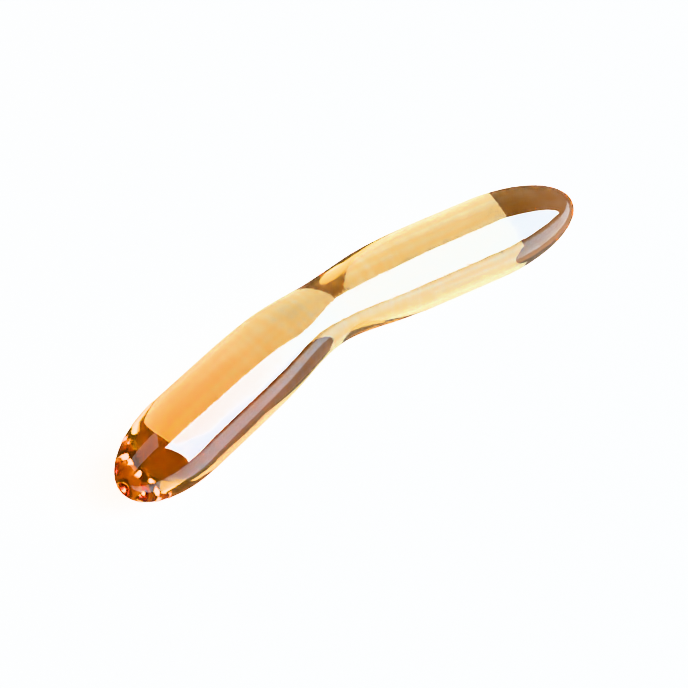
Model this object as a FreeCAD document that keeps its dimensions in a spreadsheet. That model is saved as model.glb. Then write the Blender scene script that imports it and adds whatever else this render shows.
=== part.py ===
import FreeCAD, Part
import os
import Sketcher

# A smooth wand of solid amber glass, made in one piece.
#
# Two full-radius bulges are joined by a slimmer waist. The centre line is two straight legs joined
# by one arc at the waist, all in a level plane. Each end is half an ellipsoid: the near end (-X) is
# the blunter one and the far end (+X) the longer one. Between them every section is round, and the
# waist is a bell curve taken off the full radius.
#
# Sizes are in millimetres. The origin is at the bottom centre of the wand's box, with +X from the
# near end to the far end, +Y to the outside of the bend and +Z up.

NODE = "glass_wand"
SHEET = "Sizes"

DIMENSIONS = {
    "bulge_radius": 13.5,  # largest section radius, reached where each rounded end begins
    "waist_radius": 10.87,  # smallest section radius, half way along the wand
    "near_end_length": 27.2,  # half ellipsoid at -X, along the centre line
    "far_end_length": 32.9,  # half ellipsoid at +X, along the centre line
    "waist_spread": 18.5,  # distance from the waist at which the bell curve has fallen to 1/e
    "leg_length": 71.0,  # straight centre line from each tip to the bend
    "bend_angle": 21.7,  # turn of the centre line at the waist, in degrees
    "bend_radius": 117.4,  # radius of the centre line at the waist
}

NEAR = -1
FAR = 1
SIDE_NAME = {NEAR: "near", FAR: "far"}
SECTIONS_PER_SIDE = 12  # round sections from the waist to the start of each rounded end


def cell(alias):
    """Name a dimension of the sheet inside an expression."""
    return f"{SHEET}.{alias}"


def half_bend_length():
    """Centre-line length from the middle of the waist to the end of the bend."""
    return f"({cell('bend_radius')} * {cell('bend_angle')} / 2 * pi / 180)"


def bulge_distance(side):
    """Centre-line distance from the middle of the waist to the start of a rounded end."""
    end_length = cell(f"{SIDE_NAME[side]}_end_length")
    return f"({cell('leg_length')} + {half_bend_length()} - {end_length})"


def section_radius(distance):
    """Radius of the wand at a distance from the middle of the waist."""
    depth = f"({cell('bulge_radius')} - {cell('waist_radius')})"
    return f"{cell('bulge_radius')} - {depth} * exp(-(({distance} / {cell('waist_spread')}) ^ 2))"


def centre_line(side, distance):
    """Place and turn of the centre line at a distance from the middle of the waist.

    The place is x and y from the outermost point of the bend; the turn is in degrees about +Z.
    """
    turn = f"min({distance} / {cell('bend_radius')} * 180 / pi; {cell('bend_angle')} / 2)"
    straight = f"max({distance} - {half_bend_length()}; 0)"
    x = f"{side} * ({cell('bend_radius')} * sin({turn}) + {straight} * cos({turn}))"
    y = f"-{cell('bend_radius')} * (1 - cos({turn})) - {straight} * sin({turn})"
    return x, y, f"{-side} * {turn}"


def make_sheet(doc):
    """Write each driving dimension as a plain number with its alias."""
    sheet = doc.addObject("Spreadsheet::Sheet", SHEET)
    for row, (alias, value) in enumerate(DIMENSIONS.items(), start=1):
        sheet.set(f"A{row}", alias)
        sheet.set(f"B{row}", str(value))
        sheet.setAlias(f"B{row}", alias)


def attach_across(body, item, side, distance):
    """Set an item square to the centre line, with its own x level and its own y up."""
    cross_plane = next(p for p in body.Origin.OriginFeatures if p.Role == "YZ_Plane")
    item.AttachmentSupport = [(cross_plane, "")]
    item.MapMode = "FlatFace"
    upright = FreeCAD.Vector(0, 1, 0)
    item.AttachmentOffset = FreeCAD.Placement(FreeCAD.Vector(), FreeCAD.Rotation(upright, 1))
    x, y, turn = centre_line(side, distance)
    item.setExpression("AttachmentOffset.Base.x", y)
    item.setExpression("AttachmentOffset.Base.z", x)
    item.setExpression("AttachmentOffset.Rotation.Angle", turn)


def add_section(body, side, index):
    """Draw one round section of the wand, centred on the centre line."""
    sketch = body.newObject("Sketcher::SketchObject", f"{SIDE_NAME[side]}_section_{index}")
    distance = f"({bulge_distance(side)} * {index} / {SECTIONS_PER_SIDE})"
    attach_across(body, sketch, side, distance)
    normal = FreeCAD.Vector(0, 0, 1)
    start_radius = DIMENSIONS["bulge_radius"]
    circle = sketch.addGeometry(Part.Circle(FreeCAD.Vector(), normal, start_radius), False)
    sketch.addConstraint(Sketcher.Constraint("Coincident", circle, 3, -1, 1))
    radius = sketch.addConstraint(Sketcher.Constraint("Radius", circle, start_radius))
    at_bulge = index == SECTIONS_PER_SIDE
    law = cell("bulge_radius") if at_bulge else section_radius(distance)
    sketch.setExpression(f"Constraints[{radius}]", law)
    return sketch


def add_shaft(body):
    """Loft the wand between its two rounded ends, through the bulges and the waist."""
    near_sections = [add_section(body, NEAR, index) for index in range(SECTIONS_PER_SIDE, -1, -1)]
    far_sections = [add_section(body, FAR, index) for index in range(1, SECTIONS_PER_SIDE + 1)]
    shaft = body.newObject("PartDesign::AdditiveLoft", "shaft")
    shaft.Profile = near_sections[0]
    shaft.Sections = near_sections[1:] + far_sections
    shaft.Ruled = False
    shaft.Closed = False


def add_end(body, side, first_angle, last_angle):
    """Close one end with half an ellipsoid whose long axis follows the leg."""
    end = body.newObject("PartDesign::AdditiveEllipsoid", f"{SIDE_NAME[side]}_end")
    attach_across(body, end, side, bulge_distance(side))
    end.setExpression("Radius1", cell(f"{SIDE_NAME[side]}_end_length"))
    end.setExpression("Radius2", cell("bulge_radius"))
    end.setExpression("Radius3", cell("bulge_radius"))
    end.Angle1 = first_angle
    end.Angle2 = last_angle


def make_wand(doc):
    """Build the wand, then stand it on its origin."""
    wand = doc.addObject("PartDesign::Body", NODE)
    wand.Label = NODE
    add_shaft(wand)
    add_end(wand, NEAR, -90, 0)
    add_end(wand, FAR, 0, 90)
    doc.recompute()
    box = wand.Shape.optimalBoundingBox()
    wand.Placement.Base = FreeCAD.Vector(-box.Center.x, -box.Center.y, -box.ZMin)
    return wand


def check(doc, nodes):
    """Stop if any object failed or any node is not one valid solid."""
    for item in doc.Objects:
        if "Invalid" in item.State or "Error" in item.State:
            raise RuntimeError(f"{item.Name} did not compute: {item.State}")
    for node in nodes:
        shape = node.Shape
        if shape.isNull() or not shape.isValid() or len(shape.Solids) != 1:
            raise RuntimeError(f"{node.Label} is not one valid solid")


def main():
    doc = FreeCAD.newDocument("GlassWand")
    make_sheet(doc)
    nodes = [make_wand(doc)]
    doc.recompute()
    check(doc, nodes)
    os.makedirs("parts", exist_ok=True)
    for node in nodes:
        node.Shape.exportStep(f"parts/{node.Label}.step")
        box = node.Shape.optimalBoundingBox()
        print(
            f"{node.Label}: {box.XLength:.3f} x {box.YLength:.3f} x {box.ZLength:.3f} mm,"
            f" {node.Shape.Volume / 1000:.3f} cm3, {len(node.Shape.Faces)} faces"
        )


main()
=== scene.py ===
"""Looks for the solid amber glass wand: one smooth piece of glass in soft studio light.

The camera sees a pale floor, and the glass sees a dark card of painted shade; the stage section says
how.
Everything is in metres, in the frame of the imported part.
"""
import math

import bpy
from mathutils import Matrix, Vector


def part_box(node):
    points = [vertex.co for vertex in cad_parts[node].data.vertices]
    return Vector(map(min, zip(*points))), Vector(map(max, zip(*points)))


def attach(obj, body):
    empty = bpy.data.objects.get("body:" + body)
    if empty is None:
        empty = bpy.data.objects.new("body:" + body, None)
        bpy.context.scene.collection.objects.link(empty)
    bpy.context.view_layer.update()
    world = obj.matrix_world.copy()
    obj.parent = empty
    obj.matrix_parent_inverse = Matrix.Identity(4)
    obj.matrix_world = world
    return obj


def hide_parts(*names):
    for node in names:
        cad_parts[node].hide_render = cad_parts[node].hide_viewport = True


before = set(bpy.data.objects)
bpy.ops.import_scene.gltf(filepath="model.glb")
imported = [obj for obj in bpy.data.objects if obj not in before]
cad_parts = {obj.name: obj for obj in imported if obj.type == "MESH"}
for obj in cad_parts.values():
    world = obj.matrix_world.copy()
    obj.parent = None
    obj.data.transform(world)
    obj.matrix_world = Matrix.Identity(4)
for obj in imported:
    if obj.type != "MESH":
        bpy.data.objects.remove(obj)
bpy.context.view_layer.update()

NODE = "glass_wand"

# ---------------------------------------------------------------- the wand's shape
NODE_LOW, NODE_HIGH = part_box(NODE)
BULGE_RADIUS = (NODE_HIGH.z - NODE_LOW.z) / 2
WAIST_RADIUS = 0.01087
WAIST_SPREAD = 0.0185  # distance from the waist at which its bell curve has fallen to 1/e
NEAR_END_LENGTH = 0.0272  # half ellipsoid at -X, the blunter end
FAR_END_LENGTH = 0.0329  # half ellipsoid at +X, the longer end
LEG_LENGTH = 0.0710  # straight centre line from each tip to the bend
BEND_ANGLE = math.radians(21.7)
BEND_RADIUS = 0.1174

HALF_BEND = BEND_RADIUS * BEND_ANGLE / 2
HALF_LENGTH = LEG_LENGTH + HALF_BEND
RINGS = 440
RING_POINTS = 128
STRAIGHT = "straight"  # each point's place on the wand as if its centre line were straight
MESH_SHRINK = 0.9999  # keeps the fine mesh inside the CAD box


def centre_line(distance):
    """Place and unit direction of the centre line at a signed distance from the waist."""
    side = 1 if distance >= 0 else -1
    reach = abs(distance)
    turn = min(reach / BEND_RADIUS, BEND_ANGLE / 2)
    straight = max(reach - HALF_BEND, 0)
    x = side * (BEND_RADIUS * math.sin(turn) + straight * math.cos(turn))
    y = -BEND_RADIUS * (1 - math.cos(turn)) - straight * math.sin(turn)
    return Vector((x, y, 0)), Vector((math.cos(turn), -side * math.sin(turn), 0))


def section_radius(distance):
    """Radius of the wand at a signed distance from the waist."""
    end_length = NEAR_END_LENGTH if distance < 0 else FAR_END_LENGTH
    into_end = (abs(distance) - (HALF_LENGTH - end_length)) / end_length
    if into_end > 0:
        return BULGE_RADIUS * math.sqrt(max(0, 1 - into_end**2))
    depth = BULGE_RADIUS - WAIST_RADIUS
    return BULGE_RADIUS - depth * math.exp(-((distance / WAIST_SPREAD) ** 2))


def make_wand():
    """Build the wand as one closed mesh of rings, close together at the ends."""
    up = Vector((0, 0, 1))
    points = []
    straight = []
    for ring in range(1, RINGS):
        distance = -HALF_LENGTH * math.cos(math.pi * ring / RINGS)
        centre, along = centre_line(distance)
        across = up.cross(along)
        radius = section_radius(distance)
        for index in range(RING_POINTS):
            angle = 2 * math.pi * index / RING_POINTS
            points.append(centre + radius * (math.cos(angle) * across + math.sin(angle) * up))
            straight.append((distance, radius * math.cos(angle), radius * math.sin(angle)))
    near_tip = len(points)
    points.append(centre_line(-HALF_LENGTH)[0])
    straight.append((-HALF_LENGTH, 0, 0))
    far_tip = len(points)
    points.append(centre_line(HALF_LENGTH)[0])
    straight.append((HALF_LENGTH, 0, 0))
    faces = []
    for ring in range(RINGS - 2):
        for index in range(RING_POINTS):
            following = (index + 1) % RING_POINTS
            here, there = ring * RING_POINTS, (ring + 1) * RING_POINTS
            faces.append((here + index, here + following, there + following, there + index))
    last = (RINGS - 2) * RING_POINTS
    for index in range(RING_POINTS):
        following = (index + 1) % RING_POINTS
        faces.append((near_tip, following, index))
        faces.append((far_tip, last + index, last + following))
    mesh = bpy.data.meshes.new("amber_wand")
    mesh.from_pydata(points, [], faces)
    along = mesh.attributes.new(STRAIGHT, "FLOAT_VECTOR", "POINT")
    along.data.foreach_set("vector", [value for place in straight for value in place])
    middle = (NODE_LOW + NODE_HIGH) / 2
    low = Vector((min(p[axis] for p in points) for axis in range(3)))
    high = Vector((max(p[axis] for p in points) for axis in range(3)))
    to_origin = Matrix.Translation(-(low + high) / 2)
    mesh.transform(Matrix.Translation(middle) @ Matrix.Scale(MESH_SHRINK, 4) @ to_origin)
    mesh.shade_smooth()
    wand = bpy.data.objects.new("amber_wand", mesh)
    bpy.context.scene.collection.objects.link(wand)
    return wand


# ---------------------------------------------------------------- glass
GLASS_COLOUR = (0.985, 0.93, 0.74)  # the volume takes out (1 - colour) * density per metre
GLASS_DENSITY = 68.0
REFRACTIVE_INDEX = 1.5
MARK_COLOUR = (0.97, 0.8, 0.55)  # surface colour inside a streak or a ring
STREAK_TINT = 0.8
RING_TINT = 0.8
MARK_HEIGHT = 0.00001
# noise units per metre along, across and up
STREAK_WAVES = (6, 360, 360)
RING_WAVES = (700, 12, 12)
SMEAR_WAVES = (45, 70, 70)
SLOW_WAVES = (18, 160, 160)
# the rings are full within the first distance from the waist and weakest beyond the second
RING_FULL, RING_FADED = 0.015, 0.045
RING_WEAKEST = 0.15
RING_RELIEF = 0.3  # height of the rings as a share of the slow waves
ROUGHNESS_LOW = 0.0
ROUGHNESS_HIGH = 0.006
# painted shade: surface colour along the wand, from 0 at the near tip to 1 at the far tip, darkening
# to deep amber towards the near end in place of light that travels a long way through the glass there
PAINTED_SHADE_STOPS = [
    (0.02, (0.8, 0.4, 0.03)),
    (0.08, (1.0, 0.55, 0.06)),
    (0.14, (1.0, 0.64, 0.26)),
    (0.25, (1.0, 0.68, 0.4)),
    (0.44, (1.0, 1.0, 1.0)),
]


def new_material(name):
    material = bpy.data.materials.new(name)
    material.use_nodes = True
    tree = material.node_tree
    tree.nodes.clear()
    output = tree.nodes.new("ShaderNodeOutputMaterial")
    return material, tree, output


def noise(tree, place, stretch, detail):
    """Noise over the straightened wand: stretch is noise units per metre along, across and up."""
    mapping = tree.nodes.new("ShaderNodeMapping")
    mapping.inputs["Scale"].default_value = stretch
    texture = tree.nodes.new("ShaderNodeTexNoise")
    texture.inputs["Scale"].default_value = 1.0
    texture.inputs["Detail"].default_value = detail
    tree.links.new(place.outputs["Vector"], mapping.inputs["Vector"])
    tree.links.new(mapping.outputs["Vector"], texture.inputs["Vector"])
    return texture.outputs["Fac"]


def spread(tree, value, from_low, from_high, to_low, to_high):
    """Stretch a value from one range to another, clamped at both ends."""
    node = tree.nodes.new("ShaderNodeMapRange")
    node.inputs["From Min"].default_value = from_low
    node.inputs["From Max"].default_value = from_high
    node.inputs["To Min"].default_value = to_low
    node.inputs["To Max"].default_value = to_high
    tree.links.new(value, node.inputs["Value"])
    return node.outputs["Result"]


def combine(tree, operation, first, second):
    """One math node on two values, the second a number or another value."""
    node = tree.nodes.new("ShaderNodeMath")
    node.operation = operation
    tree.links.new(first, node.inputs[0])
    if isinstance(second, float):
        node.inputs[1].default_value = second
    else:
        tree.links.new(second, node.inputs[1])
    return node.outputs["Value"]


def mix_colours(tree, blend, factor, first, second):
    """One colour mix node; the factor and the colours are each a constant or another value."""
    node = tree.nodes.new("ShaderNodeMix")
    node.data_type = "RGBA"
    node.blend_type = blend
    for socket, value in (("Factor", factor), ("A", first), ("B", second)):
        if isinstance(value, (float, tuple)):
            node.inputs[socket].default_value = value
        else:
            tree.links.new(value, node.inputs[socket])
    return node.outputs["Result"]


def painted_shade_colour(tree, along):
    """Colour ramp of painted shade that deepens the amber towards the near end."""
    ramp = tree.nodes.new("ShaderNodeValToRGB")
    stops = ramp.color_ramp.elements
    stops.remove(stops[1])
    stops[0].position = PAINTED_SHADE_STOPS[0][0]
    stops[0].color = (*PAINTED_SHADE_STOPS[0][1], 1)
    for position, colour in PAINTED_SHADE_STOPS[1:]:
        stop = stops.new(position)
        stop.color = (*colour, 1)
    tree.links.new(along, ramp.inputs["Fac"])
    return ramp.outputs["Color"]


def amber_glass():
    """Clear amber glass, faintly marked by drawing and shaping, that absorbs blue and some green."""
    material, tree, output = new_material("amber_glass")
    glass = tree.nodes.new("ShaderNodeBsdfPrincipled")
    glass.inputs["Transmission Weight"].default_value = 1.0
    glass.inputs["IOR"].default_value = REFRACTIVE_INDEX
    place = tree.nodes.new("ShaderNodeAttribute")
    place.attribute_name = STRAIGHT
    where = tree.nodes.new("ShaderNodeSeparateXYZ")
    tree.links.new(place.outputs["Vector"], where.inputs["Vector"])
    distance = where.outputs["X"]

    # long soft streaks from drawing the glass
    streaks = spread(tree, noise(tree, place, STREAK_WAVES, 2.0), 0.38, 0.62, 0.0, 1.0)
    # fine rings, strongest at the waist, from shaping it
    rings = spread(tree, noise(tree, place, RING_WAVES, 2.0), 0.35, 0.65, 0.0, 1.0)
    from_waist = combine(tree, "ABSOLUTE", distance, 0.0)
    near_waist = spread(tree, from_waist, RING_FULL, RING_FADED, 1.0, RING_WEAKEST)
    rings = combine(tree, "MULTIPLY", rings, near_waist)
    streak_tint = combine(tree, "MULTIPLY", streaks, STREAK_TINT)
    ring_tint = combine(tree, "MULTIPLY", rings, RING_TINT)
    marks = combine(tree, "ADD", streak_tint, ring_tint)

    # colour: the marks over a painted shade that deepens the amber towards the near end
    marked = mix_colours(tree, "MIX", marks, (1.0, 1.0, 1.0, 1.0), (*MARK_COLOUR, 1.0))
    along = spread(tree, distance, -HALF_LENGTH, HALF_LENGTH, 0.0, 1.0)
    coloured = mix_colours(tree, "MULTIPLY", 1.0, marked, painted_shade_colour(tree, along))
    tree.links.new(coloured, glass.inputs["Base Color"])

    # roughness: polished, with faint smears
    smears = noise(tree, place, SMEAR_WAVES, 4.0)
    roughness = spread(tree, smears, 0.35, 0.75, ROUGHNESS_LOW, ROUGHNESS_HIGH)
    tree.links.new(roughness, glass.inputs["Roughness"])

    # relief: slow waves and the waist rings, microns deep
    slow = noise(tree, place, SLOW_WAVES, 1.0)
    waves = combine(tree, "ADD", slow, combine(tree, "MULTIPLY", rings, RING_RELIEF))
    bump = tree.nodes.new("ShaderNodeBump")
    bump.inputs["Strength"].default_value = 1.0
    bump.inputs["Distance"].default_value = MARK_HEIGHT
    tree.links.new(waves, bump.inputs["Height"])
    tree.links.new(bump.outputs["Normal"], glass.inputs["Normal"])

    body = tree.nodes.new("ShaderNodeVolumeAbsorption")
    body.inputs["Color"].default_value = (*GLASS_COLOUR, 1)
    body.inputs["Density"].default_value = GLASS_DENSITY
    tree.links.new(glass.outputs["BSDF"], output.inputs["Surface"])
    tree.links.new(body.outputs["Volume"], output.inputs["Volume"])
    return material


# ---------------------------------------------------------------- stage
# The wand is seen against a pale floor that only the camera sees. What shows through the glass is
# painted shade: a dark brown card just below that floor, which the camera does not see, standing in
# for the floor in the wand's amber shadow. A pale wall, also only for the camera, closes the view from
# the sides.
FLOOR_HALF = 3.0
FLOOR_COLOUR = (0.9, 0.85, 0.8)
FLOOR_GLOW = 8.0
WALL_HEIGHT = 3.0
# painted shade: the colour of the floor in the wand's amber shadow, as seen through the glass
SHADE_CARD_COLOUR = (0.072, 0.034, 0.019)
CARD_LEVEL = -0.0002
# a pale strip of card between the wand and the main light, seen only as a surface reflection
FRONT_COLOUR = (0.72, 0.9, 0.98)
FRONT_NEAR, FRONT_FAR = -0.03, -0.19
FRONT_LEFT, FRONT_RIGHT = -0.5, 1.0
FRONT_LEVEL = -0.0001
# the main light: a big soft box standing in front of the wand, a little turned, leaning and rolled
KEY = 60.0
KEY_COLOUR = (0.77, 0.9, 1.0)
KEY_CENTRE = Vector((0.2, -0.24, 0.325))
KEY_WIDTH = 0.45
KEY_HEIGHT = 0.57
KEY_TURN = math.radians(96)
KEY_LEAN = math.radians(-7)
KEY_ROLL = math.radians(-9)
# a second, weaker panel overhead, behind the near end
TOP = 3.0
TOP_COLOUR = (1.0, 1.0, 1.0)
TOP_CENTRE = Vector((-0.36, 0.165, 0.68))
TOP_WIDTH = 0.54
TOP_HEIGHT = 0.66
TOP_TURN = math.radians(-14)
TOP_LEAN = math.radians(-57)
TOP_ROLL = math.radians(-4)
WORLD = 0.15
BOUNCES = 32
WORLD_COLOUR = (1.0, 1.0, 1.0)


def plain(name, colour, glow=0.0):
    material, tree, output = new_material(name)
    shader = tree.nodes.new("ShaderNodeBsdfPrincipled")
    shader.inputs["Base Color"].default_value = (*colour, 1)
    shader.inputs["Roughness"].default_value = 0.6
    shader.inputs["Specular IOR Level"].default_value = 0.2
    shader.inputs["Emission Color"].default_value = (1, 1, 1, 1)
    shader.inputs["Emission Strength"].default_value = glow
    tree.links.new(shader.outputs["BSDF"], output.inputs["Surface"])
    return material


def light_material(name, colour, strength):
    material, tree, output = new_material(name)
    lamp = tree.nodes.new("ShaderNodeEmission")
    lamp.inputs["Color"].default_value = (*colour, 1)
    lamp.inputs["Strength"].default_value = strength
    tree.links.new(lamp.outputs["Emission"], output.inputs["Surface"])
    return material


def stage_piece(name, corners, faces, material):
    mesh = bpy.data.meshes.new(name)
    mesh.from_pydata([Vector(corner) for corner in corners], [], faces)
    piece = bpy.data.objects.new(name, mesh)
    mesh.materials.append(material)
    bpy.context.scene.collection.objects.link(piece)
    return piece


def stage_quad(name, corners, material):
    return stage_piece(name, corners, [(0, 1, 2, 3)], material)


def table_corners(level):
    half = FLOOR_HALF
    return [(-half, -half, level), (half, -half, level), (half, half, level), (-half, half, level)]


def only_for_camera(piece):
    piece.visible_transmission = False
    piece.visible_shadow = False
    piece.visible_glossy = False
    piece.visible_diffuse = False


def panel(name, centre, width, height, turn, lean, roll, material):
    """A soft light: a rectangle that faces turn and lean, rolled about that direction."""
    facing = Vector((math.cos(lean) * math.cos(turn), math.cos(lean) * math.sin(turn), math.sin(lean)))
    level = Vector((0, 0, 1)).cross(facing).normalized()
    rise = facing.cross(level)
    wide = (level * math.cos(roll) + rise * math.sin(roll)) * width / 2
    tall = facing.cross(wide).normalized() * height / 2
    corners = [centre - wide - tall, centre + wide - tall, centre + wide + tall, centre - wide + tall]
    quad = stage_quad(name, corners, material)
    quad.visible_camera = False


def make_stage():
    pale = plain("pale_floor", FLOOR_COLOUR, FLOOR_GLOW)
    only_for_camera(stage_quad("floor", table_corners(0), pale))
    foot = table_corners(0)
    walls = foot + table_corners(WALL_HEIGHT)
    sides = [(index, (index + 1) % 4, (index + 1) % 4 + 4, index + 4) for index in range(4)]
    only_for_camera(stage_piece("backdrop", walls, sides, pale))

    # painted shade: a dark card that only the glass sees, in place of the shaded floor under the wand
    card = stage_quad("painted_shade_card", table_corners(CARD_LEVEL), plain("painted_shade_card", SHADE_CARD_COLOUR))
    card.visible_camera = False
    front_corners = [
        (FRONT_LEFT, FRONT_FAR, FRONT_LEVEL),
        (FRONT_RIGHT, FRONT_FAR, FRONT_LEVEL),
        (FRONT_RIGHT, FRONT_NEAR, FRONT_LEVEL),
        (FRONT_LEFT, FRONT_NEAR, FRONT_LEVEL),
    ]
    front = stage_quad("front_card", front_corners, plain("front_card", FRONT_COLOUR))
    front.visible_camera = False
    front.visible_transmission = False
    front.visible_diffuse = False
    front.visible_shadow = False

    key_light = light_material("key_light", KEY_COLOUR, KEY)
    panel("key_panel", KEY_CENTRE, KEY_WIDTH, KEY_HEIGHT, KEY_TURN, KEY_LEAN, KEY_ROLL, key_light)
    top_light = light_material("top_light", TOP_COLOUR, TOP)
    panel("top_panel", TOP_CENTRE, TOP_WIDTH, TOP_HEIGHT, TOP_TURN, TOP_LEAN, TOP_ROLL, top_light)

    world = bpy.data.worlds.new("studio")
    bpy.context.scene.world = world
    world.use_nodes = True
    background = world.node_tree.nodes["Background"]
    background.inputs["Color"].default_value = (*WORLD_COLOUR, 1)
    background.inputs["Strength"].default_value = WORLD


# ---------------------------------------------------------------- camera
VIEW_AZIMUTH = math.radians(-42.77)
VIEW_ELEVATION = math.radians(45)
VIEW_DISTANCE = 0.8
VIEW_AIM = Vector((0, -0.0087, 0))
LENS = 136.76
SENSOR = 36.0
SHIFT_RIGHT = -0.0226
SHIFT_UP = 0.0381


def make_camera():
    data = bpy.data.cameras.new("camera")
    camera = bpy.data.objects.new("camera", data)
    bpy.context.scene.collection.objects.link(camera)
    level = math.cos(VIEW_ELEVATION)
    back = Vector((math.sin(VIEW_AZIMUTH), -math.cos(VIEW_AZIMUTH), 0)) * level
    back.z = math.sin(VIEW_ELEVATION)
    camera.location = VIEW_AIM + back * VIEW_DISTANCE
    camera.rotation_mode = "QUATERNION"
    camera.rotation_quaternion = (-back).to_track_quat("-Z", "Y")
    data.sensor_width = SENSOR
    data.lens = LENS
    data.shift_x = SHIFT_RIGHT
    data.shift_y = SHIFT_UP
    data.clip_start = 0.01
    data.clip_end = 50
    bpy.context.scene.camera = camera


make_camera()
wand = make_wand()
wand.data.materials.append(amber_glass())
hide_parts(NODE)
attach(wand, "root")
make_stage()
# compresses only the brightest tones, so the reflections of the key light keep their amber
bpy.context.scene.view_settings.view_transform = "Khronos PBR Neutral"
# light bounces many times inside the rounded ends before it gets out
bpy.context.scene.cycles.max_bounces = BOUNCES
bpy.context.scene.cycles.transmission_bounces = BOUNCES
bpy.context.scene.cycles.glossy_bounces = BOUNCES
